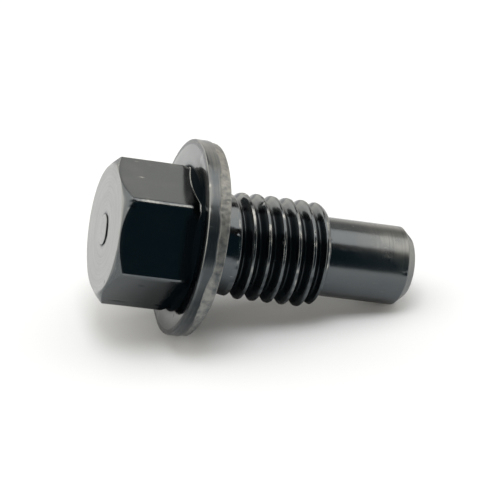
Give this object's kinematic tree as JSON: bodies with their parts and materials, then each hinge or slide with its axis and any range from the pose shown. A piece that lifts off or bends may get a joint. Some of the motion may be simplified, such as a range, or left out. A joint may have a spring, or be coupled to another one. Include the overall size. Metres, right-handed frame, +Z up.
{
  "type": "oil drain plug",
  "caption": "Steel oil drain plug: hex head, round sealing flange, metric right-hand thread and a plain pilot point, shown lying on its flange and tip.",
  "frame": {"origin": "middle of the lying plug's outline seen from above, on the surface that it lies on", "axes": "+X from the head towards the tip, level; +Y to the plug's left as the tip points away; +Z up. The plug's own axis slopes down towards the tip by 14.7 degrees, as it comes to rest on the flange's rim and the pilot's end"},
  "size_m": [0.0368, 0.0216, 0.0212],
  "materials": {
    "black_steel": "black oxide over forged and turned steel, lightly oiled, semi-gloss"
  },
  "bodies": {
    "root": {"drain_plug": "black_steel"}
  },
  "joints": []
}
